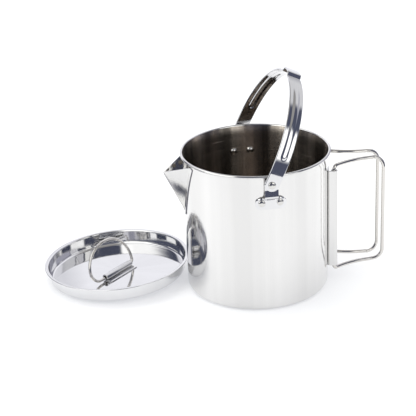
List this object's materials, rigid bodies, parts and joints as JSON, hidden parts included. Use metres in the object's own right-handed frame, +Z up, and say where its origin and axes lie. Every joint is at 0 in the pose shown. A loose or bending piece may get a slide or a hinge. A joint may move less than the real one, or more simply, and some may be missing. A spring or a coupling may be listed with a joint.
{
  "type": "camping kettle",
  "caption": "Round steel camping kettle with a folded V spout, swinging strap bail, folding wire handle and a lift-off pan lid with a hinged ring, lid lying open beside it.",
  "frame": {"origin": "centre of the pot's flat base, on the surface it stands on", "axes": "+Z up, +X towards the folding wire handle, -X towards the spout, the bail pivots on the ears at -Y and +Y"},
  "size_m": [0.2887, 0.1694, 0.1869],
  "materials": {
    "pot_steel": "bright vertical brushing",
    "lid_steel": "mirror polished",
    "strap_steel": "polished stamping",
    "wire_steel": "polished wire",
    "rivet_steel": "satin"
  },
  "bodies": {
    "pot": {"pot_body": "pot_steel", "spout": "pot_steel", "ear_front": "strap_steel", "ear_back": "strap_steel", "ear_rivet_front_left": "rivet_steel", "ear_rivet_front_right": "rivet_steel", "ear_rivet_back_right": "rivet_steel", "ear_rivet_back_left": "rivet_steel", "pivot_rivet_front": "rivet_steel", "pivot_rivet_back": "rivet_steel", "handle_bracket": "pot_steel"},
    "bail": {"bail_strap": "strap_steel"},
    "wing_front": {"handle_wing_front": "wire_steel"},
    "wing_back": {"handle_wing_back": "wire_steel"},
    "lid": {"lid_pan": "lid_steel", "lid_ring_sleeve": "strap_steel"},
    "ring": {"lid_ring": "wire_steel"}
  },
  "joints": [
    {"name": "bail_swing", "type": "hinge", "parent": "pot", "child": "bail", "pos_m": [0, 0, 0.1134], "axis": [0, 1, 0], "range_deg": [-109, 64]},
    {"name": "wing_front_fold", "type": "hinge", "parent": "pot", "child": "wing_front", "pos_m": [0.06242, -0.01885, 0.059], "axis": [0, 0, 1], "range_deg": [-140, 0]},
    {"name": "wing_back_fold", "type": "hinge", "parent": "pot", "child": "wing_back", "pos_m": [0.06242, 0.01885, 0.059], "axis": [0, 0, 1], "range_deg": [0, 140]},
    {"name": "lid_lift", "type": "slide", "parent": "pot", "child": "lid", "axis": [-0.475, 0.1562, 0.866], "range_m": [0, 0.16]},
    {"name": "ring_fold", "type": "hinge", "parent": "lid", "child": "ring", "pos_m": [-0.11714, 0.03368, 0.00611], "axis": [0.7261, 0.6873, 0.0227], "range_deg": [-75, 103]}
  ]
}
